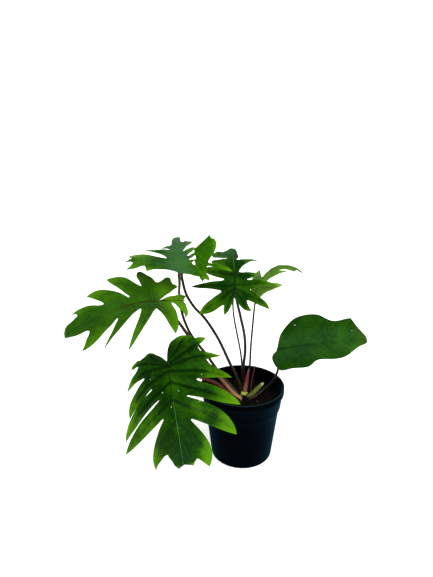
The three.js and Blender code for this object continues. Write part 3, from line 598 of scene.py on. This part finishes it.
def lobed_half(leaf, sign):
    """One half of a lobed blade: each lobe has a patch before and a patch behind its rib, and each
    edge of a lobe is a cubic from its notch to its tip."""
    rows = leaf["right"] if sign > 0 else leaf["left"]
    tips = [np.array(leaf["tip"], float)] + [np.array([sign * r[2], r[3]], float) for r in rows]
    notches = [np.array([sign * r[0], r[1]], float) for r in rows] + [np.array([0, -SINUS])]
    full = {True: [0] + [r[4] for r in rows], False: [leaf["crown"][sign > 0]] + [r[5] for r in rows]}
    roots = [np.array([0.0, r]) for r in leaf["ribs"]]
    last = len(tips) - 1

    def edge(k, front, t):
        tip, notch = tips[k], notches[k - 1 if front else k]
        other = k - 1 if front else k + 1
        away = unit(tip - tips[other]) if other <= last else unit(np.array([tip[0] * 0.6, tip[1]]))
        chord = tip - notch
        span = np.linalg.norm(chord)
        normal = np.array([-chord[1], chord[0]]) / span
        inner = (notches[k - 1] + notches[k]) / 2 if k else np.array([0, notch[1]])
        out = normal if normal @ (notch - inner) > 0 else -normal
        round_off = away * min(0.16 * span, 3.5)
        swell = 2.4 * full[front][k] - 0.6 * max(round_off @ out, 0)
        return bezier([notch, notch + round_off, tip - chord * 0.34 + out * swell, tip], t)

    throat_t = np.linspace(0, 1, THROAT_STEPS + 1)
    outer_t = np.linspace(0, 1, LOBE_STEPS + 1)
    patches = []
    for k in range(last + 1):
        margins, middles, outers = {}, {}, {}
        for front in ((False, True) if k else (False,)):
            root = (roots[k - 1 if front else k] + roots[min(k if front else k + 1, last)]) / 2
            notch = notches[k - 1 if front else k]
            start = 0.0
            if k == last and not front:
                start = BASE_LOBE_THROAT
                throat = np.vstack([[0.0, 0.0], edge(k, front, start * np.linspace(0, 1, THROAT_STEPS))])
            else:
                throat = root + (notch - root) * throat_t[:, None]
            outers[front] = edge(k, front, start + (1 - start) * outer_t)
            middles[front] = edge(k, front, np.array([start + (1 - start) * 0.45]))[0]
            margins[front] = np.vstack([throat, outers[front][1:]])
        if k:
            axis = (outers[True] + outers[False]) / 2
            axis = axis + AXIS_DRAW * (roots[k] - axis[0]) * ((1 - outer_t) ** 2)[:, None]
            heading = unit((middles[True] + middles[False]) / 2 - axis[0])
            bent = axis[0] - heading * 0.4 * np.linalg.norm(axis[0] - roots[k])
            control = 0.65 * (roots[k] + axis[0]) / 2 + 0.35 * bent
            spread = throat_t**1.8 if k == last else throat_t
            rib = np.vstack([bezier([roots[k], control, axis[0]], spread), axis[1:]])
        else:
            throat = roots[0] + (tips[0] - roots[0]) * 0.3
            rib = np.vstack([roots[0] + (throat - roots[0]) * throat_t[:, None],
                             (throat + (tips[0] - throat) * outer_t[:, None])[1:]])
        for front, margin in margins.items():
            notch = notches[k - 1 if front else k]
            number = k + 3 * (sign > 0)
            patches.append(rungs(rib, margin, ACROSS_STEPS, THROAT_STEPS, notch, sign, front, number))
    return patches


def whole_half(leaf, sign):
    """One half of an uncut blade: rungs from the midrib to a smooth curve through its margin."""
    side = leaf["right"] if sign > 0 else leaf["left"]
    points = np.array([[0, -SINUS]] + [[sign * a, b] for a, b in side[::-1]] + [leaf["tip"]], float)
    padded = np.vstack([points[0], points, points[-1]])
    place = np.linspace(0, len(points) - 1, WHOLE_STEPS + 1)
    i = np.minimum(place.astype(int), len(points) - 2)
    t = (place - i)[:, None]
    a, b, c, d = (padded[i + k] for k in range(4))
    margin = 0.5 * (2 * b + (c - a) * t + (2 * a - 5 * b + 4 * c - d) * t**2 + (3 * b - a - 3 * c + d) * t**3)
    margin[0] = (0, 0)
    s = np.linspace(0, 1, WHOLE_STEPS + 1)
    rib = np.stack([leaf["tip"][0] * s**8, leaf["tip"][1] * s**1.6], -1)
    patch = rungs(rib, margin, WHOLE_ACROSS_STEPS, 0, margin[0], sign, False, 0)
    across = np.linspace(0, 1, WHOLE_ACROSS_STEPS + 1)
    patch["flat"][0] = np.stack([0 * across, -SINUS * across], -1)
    length = leaf["tip"][1]
    u, v = np.abs(patch["flat"][..., 0]), patch["flat"][..., 1]
    patch["rib_mm"] = u + 1.0
    patch["vein_mm"] = v - 1.25 * u + 0.006 * u**2
    patch["reach"] = np.clip(v / length, 0, 1) ** 1.5 * 0.6
    patch["pleat"] = across[None] * (1 - across[None]) * 2.2 * np.sin(np.pi * s)[:, None]
    patch["wave"] = np.sin(np.pi * s)[:, None] * np.sin(9.5 * np.pi * s + sign)[:, None] * across**2
    return [patch]


def vertex_normals(points, faces):
    """Each point's normal: the sum of the cross products of its faces, made one long."""
    corner = points[faces]
    face_normal = np.cross(corner[:, 1] - corner[:, 0], corner[:, 2] - corner[:, 0])
    normals = np.zeros_like(points)
    for k in range(3):
        np.add.at(normals, faces[:, k], face_normal)
    return unit(normals)


def undulation(u, v, seed):
    """Slow swells of the blade: three crossing waves."""
    return (0.45 * np.sin(u / 13 + v / 31 + seed) + 0.4 * np.sin(v / 15 - u / 37 + 2 * seed)
            + 0.2 * np.sin((u + v) / 7.5 + 3 * seed))


def lumps(centre, size, rng, flatness):
    """Twenty-faced balls about their centres, each stretched, turned, and with its points pushed at
    random."""
    ball = bmesh.new()
    bmesh.ops.create_icosphere(ball, subdivisions=1, radius=1)
    ball_points = np.array([v.co[:] for v in ball.verts])
    ball_faces = np.array([[v.index for v in f.verts] for f in ball.faces])
    ball.free()
    count = len(centre)
    push = 1 + rng.uniform(-0.3, 0.3, (count, len(ball_points), 1))
    turn = unit(rng.normal(size=(count, 3)))
    other = unit(np.cross(turn, rng.normal(size=(count, 3))))
    axes = np.stack([turn, other, np.cross(turn, other)], 1) * rng.uniform(0.6, 1.2, (count, 3, 1))
    balls = np.einsum("pk,nkj->npj", ball_points, axes) * push * size[:, None, None] * (1, 1, flatness)
    faces = (ball_faces[None] + np.arange(count)[:, None, None] * len(ball_points)).reshape(-1, 3)
    return (balls + centre[:, None]).reshape(-1, 3), faces


def make_blade(name, leaf, material, slot, grit):
    """A blade: flat patches are welded, bent and pleated along their ribs, and then thickened up
    and down their normals, thinner at the margin and ridged under the ribs."""
    half = lobed_half if "ribs" in leaf else whole_half
    patches = half(leaf, -1) + half(leaf, 1)
    flat = np.concatenate([p["flat"].reshape(-1, 2) for p in patches])
    spots, first, index = np.unique(np.round(flat, 4), axis=0, return_index=True, return_inverse=True)
    index = index.ravel()
    value = {key: np.concatenate([np.ravel(p[key]) for p in patches])[first]
             for key in (*FLAT_MARKS, "pleat", "wave")}
    triangles = []
    offset = 0
    for patch in patches:
        rows, columns = patch["flat"].shape[:2]
        quads = index[offset + grid_faces(rows, columns, False)]
        offset += rows * columns
        a, b, c, d = quads.T
        pair = np.concatenate([np.stack([a, d, c], -1), np.stack([a, c, b], -1)])
        triangles.append(pair if patch["turned"] else pair[:, ::-1])
    triangles = np.concatenate(triangles)
    a, b, c = triangles.T
    triangles = triangles[(a != b) & (b != c) & (c != a)]
    u, v = spots.T
    groove = hump(u, 0, GROOVE_WIDTH) * (v > -SINUS)
    near_rib = hump(value["rib_mm"], 0, RIB_WIDTH) * np.clip(value["edge_mm"] / 4, 0, 1)
    calm = np.clip(np.hypot(u, v) / 25, 0, 1)
    seed = sum(map(ord, name)) * 0.7
    lift = (leaf["pleat"] * value["pleat"] + leaf["wave"] * value["wave"] - 0.35 * groove - 0.16 * near_rib
            + calm * undulation(u, v, seed))
    points = blade_points(leaf, u, v, lift)
    normals = vertex_normals(points, triangles)
    thick = np.clip(value["edge_mm"] / THIN_MARGIN, 0, 1)
    half_thick = (THIN_EDGE + (HALF_THICKNESS - THIN_EDGE) * thick)[:, None]
    taper = np.clip(1 - v / (leaf["tip"][1] * 1.02), 0, 1)
    ridge = (1.1 * taper * groove + 0.35 * near_rib)[:, None]
    shell = np.vstack([points + half_thick * normals, points - (half_thick + ridge) * normals])
    below = len(points)
    directed = np.concatenate([triangles[:, [0, 1]], triangles[:, [1, 2]], triangles[:, [2, 0]]])
    key = directed[:, 0] * below + directed[:, 1]
    rim = directed[~np.isin(key, directed[:, 1] * below + directed[:, 0])]
    p, q = rim.T
    faces = np.concatenate([triangles, triangles[:, ::-1] + below, np.stack([q, p, p + below], -1),
                            np.stack([q, p + below, q + below], -1)])
    attributes = {key: np.tile(value[key], 2) for key in FLAT_MARKS}
    attributes["midrib_mm"] = np.tile(np.abs(u) / np.clip(taper, 0.25, 1), 2)
    attributes["aside_mm"] = np.tile(np.abs(u), 2)
    attributes["ahead"] = np.tile(v / leaf["tip"][1], 2)
    attributes["under"] = np.repeat([0.0, 1.0], below)
    if "specks" in leaf:
        seats = [np.argmin(np.hypot(u - a, v - b)) for a, b in leaf["specks"]]
        rng = np.random.default_rng(4)
        grains, grain_faces = lumps(shell[seats], rng.uniform(0.6, 1.1, len(seats)), rng, 0.8)
        make_piece(f"specks_{name}", grains, grain_faces, grit, slot)
    return make_piece(f"leaf_{name}", shell, faces, material, slot, [f"blade_{name}"], attributes,
                      outward=False)


def make_petiole(name, leaf, material):
    """A petiole: it swells at its foot and below the blade, and ends on the blade's underside."""
    axes = blade_axes(leaf)
    end = np.array(leaf["base"]) - axes[2] * (HALF_THICKNESS + 0.4)
    path = smooth_path([*[(*leaf["foot"], z) for z in ROOTED], *leaf["route"], end], 90)
    s = np.linspace(0, 1, len(path))
    low, high = leaf["radii"]
    radii = (low + (high - low) * s) * (1 + 0.35 * hump(s, 0.03, 0.08) + 0.22 * hump(s, 0.965, 0.03))
    radii = radii * np.clip((1.02 - s) / 0.03, 0.45, 1)
    points, faces, marks = tube(path, radii, 14, lambda t, angle: 0.05 * np.sin(5 * angle) * high)
    return make_piece(f"stalk_{name}", points, faces, material, "petiole", [f"petiole_{name}"], marks)


# The pot

def arc(centre, radius, start, end, steps):
    """Points on a circle from one angle to another, in degrees."""
    angle = np.radians(np.linspace(start, end, steps))
    return [(centre[0] + radius * math.cos(a), centre[1] + radius * math.sin(a)) for a in angle]


def make_pot(material):
    """The pot's wall as one turned profile, with its drain holes cut through the floor."""
    lip_foot = POT_HEIGHT - LIP_HEIGHT
    slope = (WALL_TOP_RADIUS - BASE_RADIUS) / (WALL_TOP_Z - CORNER_RADIUS)
    drain_inside = DRAIN_CIRCLE_RADIUS - DRAIN_RADIUS
    outside = [
        (0, 0), (drain_inside, 0), (FLAT_RADIUS, 0),
        *arc((FLAT_RADIUS, CORNER_RADIUS), CORNER_RADIUS, -80, 0, 9),
        *[(BASE_RADIUS + slope * (z - CORNER_RADIUS), z) for z in (12, 30, 50, WALL_TOP_Z - 1.2)],
        (WALL_TOP_RADIUS + 0.25, WALL_TOP_Z), (BAND_FOOT_RADIUS - 0.5, BAND_FOOT_Z - 1.4),
        (BAND_FOOT_RADIUS, BAND_FOOT_Z), (BAND_TOP_RADIUS, lip_foot - 2.6),
        (BAND_TOP_RADIUS + 0.6, lip_foot - 1.7), (RIM_RADIUS - 0.5, lip_foot - 0.7),
        *arc((RIM_RADIUS - LIP_ROUND, lip_foot), LIP_ROUND, -70, 0, 4),
        *arc((RIM_RADIUS - RIM_ROUND, POT_HEIGHT - RIM_ROUND), RIM_ROUND, 0, 180, 11),
    ]
    inside = [
        (RIM_RADIUS - 2.4, lip_foot + 3), (BAND_TOP_RADIUS - WALL, lip_foot - 3),
        (BAND_FOOT_RADIUS - WALL, BAND_FOOT_Z), (WALL_TOP_RADIUS - WALL, WALL_TOP_Z),
        (BASE_RADIUS - WALL + slope, CORNER_RADIUS + FLOOR), (FLAT_RADIUS, FLOOR),
        (drain_inside, FLOOR), (0, FLOOR),
    ]
    points, faces = turned(outside + inside, POT_SIDES)
    pot = make_piece("pot_wall", points, faces, material, "pot", ["pot"])
    cutters = bmesh.new()
    for angle in np.arange(DRAIN_HOLES) * 2 * math.pi / DRAIN_HOLES:
        made = bmesh.ops.create_cone(cutters, cap_ends=True, segments=28, radius1=DRAIN_RADIUS * MM,
                                     radius2=DRAIN_RADIUS * MM, depth=3 * FLOOR * MM)
        x, y = DRAIN_CIRCLE_RADIUS * math.cos(angle) * MM, DRAIN_CIRCLE_RADIUS * math.sin(angle) * MM
        bmesh.ops.translate(cutters, vec=(x, y, FLOOR / 2 * MM), verts=made["verts"])
    drill_mesh = bpy.data.meshes.new("drill")
    cutters.to_mesh(drill_mesh)
    cutters.free()
    drill = add_object("drill", drill_mesh)
    cut = pot.modifiers.new("drain", "BOOLEAN")
    cut.object = drill
    cut.solver = "EXACT"
    bpy.context.view_layer.update()
    result = bpy.data.meshes.new_from_object(pot.evaluated_get(bpy.context.evaluated_depsgraph_get()))
    pot.modifiers.clear()
    pot.data = result
    pot.data.set_sharp_from_angle(angle=math.radians(38))
    bpy.data.objects.remove(drill)
    return pot


# The soil

def rough_ground(x, y):
    """Height of the soil's surface above SOIL_Z: a slow mound and crossing waves of shrinking length."""
    rng = np.random.default_rng(7)
    height = 0.9 * np.cos(np.hypot(x, y) / 19) - 0.4
    for length, size in ((26, 0.7), (15, 0.6), (9, 0.5), (5.5, 0.42), (3.4, 0.3), (2.2, 0.2)):
        for turn in rng.uniform(0, 2 * np.pi, 4):
            phase = rng.uniform(0, 2 * np.pi)
            way = x * np.cos(turn) + y * np.sin(turn)
            height = height + size / 2 * np.sin(2 * np.pi * way / length + phase)
    return height


def make_soil(material):
    """Soil: a rough top inside the pot's wall, and the plain body under it."""
    room = WALL + 0.3
    edge = BAND_FOOT_RADIUS - room + 0.9
    top = [(r, SOIL_Z) for r in np.linspace(edge, 1.2, 46)]
    low = [(0, FLOOR + 0.3), (FLAT_RADIUS - room, FLOOR + 0.3),
           (BASE_RADIUS - room, CORNER_RADIUS + FLOOR), (WALL_TOP_RADIUS - room, WALL_TOP_Z - 1),
           (BAND_FOOT_RADIUS - room, BAND_FOOT_Z + 1)]

    def roughen(points):
        at_top = points[:, 2] > SOIL_Z - 0.01
        points[:, 2] += at_top * rough_ground(points[:, 0], points[:, 1])
        return points

    points, faces = turned(low + top + [(0, SOIL_Z)], 150, roughen)
    return make_piece("soil_bed", points, faces, material, "soil", ["soil"])


def scatter(name, count, sizes, seed, material, reach, flatness=0.8):
    """Many small lumps of random radii, about a third of each sunk in the soil."""
    rng = np.random.default_rng(seed)
    angle = rng.uniform(0, 2 * np.pi, count)
    radius = reach * np.sqrt(rng.uniform(0.0, 1, count))
    x, y = radius * np.cos(angle), radius * np.sin(angle)
    size = sizes[0] + (sizes[1] - sizes[0]) * rng.uniform(0, 1, count) ** 2.5
    centre = np.stack([x, y, SOIL_Z + rough_ground(x, y) + size * 0.3], -1)
    return make_piece(name, *lumps(centre, size, rng, flatness), material, "soil")


# Stem and sheaths

def make_stem(material):
    """The stem's knob: a turned body with leaf scars as low rings, leaning lumps pushed out of it."""
    z = np.linspace(SOIL_Z - ROOTED_DEPTH, STEM_TOP_Z - 0.6, 34)
    scars = 0.3 * hump(z, SOIL_Z + 2, 0.5) + 0.3 * hump(z, SOIL_Z + 4.3, 0.5)
    cap = np.sqrt(np.clip(1 - ((z - SOIL_Z - 2) / (STEM_TOP_Z - SOIL_Z - 1.9)) ** 4, 0, 1))
    radius = STEM_RADIUS * np.where(z > SOIL_Z + 2, 0.35 + 0.65 * cap, 1) + scars
    profile = [(0, z[0])] + list(zip(radius, z)) + [(0, STEM_TOP_Z)]

    def lean(points):
        angle = np.arctan2(points[:, 1], points[:, 0])
        lump = 1 + 0.07 * np.sin(2 * angle + 0.8) + 0.05 * np.sin(3 * angle + points[:, 2])
        return points * np.stack([lump, lump, np.ones(len(points))], -1) + (*STEM_FOOT, 0)

    points, faces = turned(profile, 40, lean)
    height = (points[:, 2] - z[0]) / (STEM_TOP_Z - z[0])
    around = np.arctan2(points[:, 1] - STEM_FOOT[1], points[:, 0] - STEM_FOOT[0]) / (2 * np.pi)
    marks = {"along": height, "around": around}
    return make_piece("stem_knob", points, faces, material, "stem", ["stem"], marks)


def make_sheath(name, node, material, slot, foot, route, radii, ribs=9, heights=ROOTED):
    """A sheath: a tube with low lengthwise ribs and a wrapped edge, its radii spread evenly along it."""
    path = smooth_path([*[(*foot, z) for z in heights], *route], 60)
    s = np.linspace(0, 1, len(path))
    mean = np.interp(s, np.linspace(0, 1, len(radii)), radii)

    def wrapped(t, angle):
        return mean[:, None] * (0.05 * np.cos(ribs * angle) + 0.1 * hump(angle, 4.2 + 0.6 * t, 0.16))

    rounded = mean * np.sqrt(np.clip((1.0 - s) / 0.09, 0.04, 1))
    mesh_points, faces, marks = tube(path, rounded, 28, wrapped)
    return make_piece(name, mesh_points, faces, material, slot, [node], marks)


# Camera, floor and light

def make_camera():
    """The photograph's camera, level from side to side."""
    data = bpy.data.cameras.new("camera")
    data.sensor_width = SENSOR
    data.lens = SENSOR * FOCAL_PIXELS / IMAGE_HEIGHT
    data.clip_end = 20
    camera = add_object("camera", data)
    camera.location = [c * MM for c in CAMERA_PLACE]
    camera.rotation_euler = (math.radians(90 - CAMERA_DOWN), 0, 0)
    bpy.context.scene.camera = camera


def make_floor():
    """A white floor that glows a little, so that the shadows on it stay faint."""
    mesh = bpy.data.meshes.new("floor")
    corners = [(x * FLOOR_REACH, y * FLOOR_REACH, 0) for x, y in ((-1, -1), (1, -1), (1, 1), (-1, 1))]
    mesh.from_pydata(corners, [], [(0, 1, 2, 3)])
    finish = Finish("floor_white", Roughness=0.9, Specular_IOR_Level=0.1, Emission_Strength=0.6,
                    Emission_Color=(1, 1, 1, 1), Base_Color=(0.93, 0.93, 0.93, 1))
    mesh.materials.append(finish.material)
    floor = add_object("floor", mesh)


def make_light(kind, name, place, target, power, colour, **form):
    """A light at a place in metres that faces a target; form holds what its kind needs."""
    data = bpy.data.lights.new(name, kind)
    for key, value in form.items():
        setattr(data, key, value)
    data.energy = power
    data.color = colour
    light = add_object(name, data)
    light.location = place
    ahead = unit(np.array(target) - np.array(place))
    light.rotation_euler = (math.acos(-ahead[2]), 0, math.atan2(ahead[1], ahead[0]) - math.pi / 2)


def make_studio():
    """A white world that lights the plant less than the camera sees it, a wide sun in front and
    above, and a soft light from behind."""
    world = bpy.data.worlds.new("studio")
    world.use_nodes = True
    tree = world.node_tree
    background = tree.nodes["Background"]
    background.inputs["Color"].default_value = (1, 1, 1, 1)
    seen = tree.nodes.new("ShaderNodeLightPath")
    strength = tree.nodes.new("ShaderNodeMapRange")
    strength.inputs["To Min"].default_value = WORLD_LIGHT
    strength.inputs["To Max"].default_value = WORLD_SEEN
    tree.links.new(seen.outputs["Is Camera Ray"], strength.inputs["Value"])
    tree.links.new(strength.outputs[0], background.inputs["Strength"])
    bpy.context.scene.world = world
    make_light("SUN", "key", SUN_PLACE, (0, 0, 0), 3.65, (1, 0.99, 0.96), angle=math.radians(50))
    make_light("AREA", "back", BACK_PLACE, PLANT_MIDDLE, 4, (0.9, 0.96, 1), shape="SQUARE", size=1.2)
    bpy.context.scene.view_settings.view_transform = "Standard"
    bpy.context.scene.view_settings.look = "None"


make_camera()
make_floor()
make_studio()

# What leaf_finish takes for each look: the greens are deep, bright and lime, and the veins' colours
# those near the petiole and far from it
# The amounts of painted sheen about the midrib, of painted shade beside the ribs and of painted light behind
# the petiole are given here too
LEAF_LOOKS = {
    "front": dict(
        greens=((0.0015, 0.015, 0.0002), (0.018, 0.09, 0.0004), (0.1, 0.28, 0.002)),
        veins=(DARK_RIB, PALE_RIB), turn=(0.3, 0.7), rib=0.16, midrib=0.75, side=0.07,
        cloudy=1.6, mottled=0.45, rib_shade_amount=0.5, painted_sheen=0.1, painted_sheen_from=(0.68, 0.9)),
    "left": dict(
        greens=((0.008, 0.045, 0.0004), (0.03, 0.115, 0.0006), (0.09, 0.25, 0.003)),
        veins=(RED_RIB, FADED_RIB), side_ribs=(0.1, 0.3, 0.025), turn=(0.2, 0.75), rib=0.22, midrib=0.9,
        spine_mm=1.8, cloudy=1.5, mottled=0.6, limed=0.6, painted_light_behind_stalk=0.8, painted_sheen=0.06),
    "behind": dict(
        greens=((0.014, 0.07, 0.0004), (0.03, 0.13, 0.0005), (0.09, 0.27, 0.003)),
        veins=(FADED_RIB, FADED_RIB), rib=0.15, midrib=0.35, cloudy=0.9),
    "top": dict(
        greens=((0.01, 0.06, 0.001), (0.035, 0.14, 0.001), (0.11, 0.28, 0.002)),
        veins=(FADED_RIB, FADED_RIB), rib=0.15, midrib=0.3, shine=0.04, cloudy=2.8, painted_sheen=0.65),
    "centre": dict(
        greens=((0.002, 0.02, 0.0003), (0.02, 0.09, 0.0006), (0.12, 0.32, 0.003)),
        veins=(DARK_RIB, FADED_RIB), turn=(0.2, 0.6), rib=0.25, midrib=0.75, spine_mm=3,
        cloudy=1.8, mottled=0.5, limed=0.35, painted_sheen=0.5, painted_sheen_from=(0.55, 0.9)),
    "right": dict(
        greens=((0.002, 0.022, 0.0003), (0.014, 0.07, 0.0006), (0.035, 0.14, 0.002)),
        veins=(DARK_RIB, FADED_RIB), turn=(0.3, 0.7), rib=0.1, midrib=0.7, side=0.16,
        cloudy=1.2, mottled=0.5, painted_sheen=0.16, dried=0.5),
    "young": dict(
        greens=((0.05, 0.135, 0.012), (0.085, 0.2, 0.02), (0.18, 0.34, 0.04)),
        veins=((0.08, 0.05, 0.006), (0.1, 0.2, 0.012)), under=(0.08, 0.2, 0.008)),
}
SHARED_LOOKS = {"behind_top": "behind", "behind_centre": "young"}
leaf_looks = {look: leaf_finish(f"leaf_{look}", **values) for look, values in LEAF_LOOKS.items()}
dark_stalk = stalk_finish("stalk_dark", (0.025, 0.015, 0.01), (0.006, 0.003, 0.0025))
tan_stalk = stalk_finish("stalk_tan", (0.33, 0.16, 0.08), (0.03, 0.01, 0.006), foot_end=0.45)
red_stalk = stalk_finish("stalk_red", (0.012, 0.006, 0.004), (0.09, 0.018, 0.01), (0.005, 0.004, 0.002), 0.4)
stalk_looks = {"front": red_stalk, "left": tan_stalk}
perlite = crumb_finish("perlite", (0.16, 0.15, 0.13), (0.42, 0.4, 0.36), 1.2, 0.9)
grit = crumb_finish("grit", (0.3, 0.5, 0.25), (0.6, 0.8, 0.5), 1.2, 0.9)
for leaf_name, leaf in LEAVES.items():
    look = SHARED_LOOKS.get(leaf_name, leaf_name)
    make_blade(leaf_name, leaf, leaf_looks[look], "young_leaf" if look == "young" else "leaf", grit)
    make_petiole(leaf_name, leaf, stalk_looks.get(leaf_name, dark_stalk))

olive = sheath_finish("sheath_olive", (0.06, 0.075, 0.008), (0.11, 0.15, 0.015), (0.38, 0.42, 0.15), 0.42)
pink = sheath_finish("sheath_pink", (0.26, 0.12, 0.07), (0.16, 0.03, 0.035), (0.2, 0.06, 0.07), 0.5)
strand = sheath_finish("sheath_strand", (0.008, 0.02, 0.01), (0.13, 0.02, 0.025), (0.2, 0.05, 0.06), 0.5)
knob = sheath_finish("stem_green", (0.2, 0.2, 0.03), (0.3, 0.36, 0.04), (0.36, 0.34, 0.06), 0.45)
make_sheath("olive_sheath", "sheath_olive", olive, "sheath_olive", foot=(9.8, -1.5),
            route=[(14, -2.5, 97), (22, -4, 107), (30, -5, 117)], radii=(3.4, 3.4, 3.3, 2.9, 1.9))
make_sheath("pink_strand", "sheath_strand", strand, "sheath_pink", foot=(12.5, 6),
            route=[(13, 6.5, 101), (15, 8, 118), (18.5, 10, 137)], radii=(1.1, 0.9, 0.7, 0.5))
make_sheath("pink_sheath", "sheath_pink", pink, "sheath_pink", foot=(4.2, 4.4), heights=ON_STEM, ribs=11,
            route=[(5.4, 4.2, 108), (7, 3.8, 121), (9, 3.5, 135)], radii=(3.1, 2.9, 2.5, 1.7, 0.8))
make_stem(knob)

make_pot(pot_finish())
soil_look = crumb_finish("soil_mix", (0.0006, 0.0005, 0.0004), (0.003, 0.0021, 0.0016), 2.5)
bark = crumb_finish("bark_bits", (0.006, 0.003, 0.002), (0.02, 0.012, 0.007), 1.5)
make_soil(soil_look)
scatter("soil_crumbs", 1500, (0.4, 2.4), 3, soil_look, reach=52)
scatter("bark_bits", 120, (0.6, 2.6), 5, bark, reach=50, flatness=0.5)
scatter("perlite", 46, (0.35, 1.3), 11, perlite, reach=50)
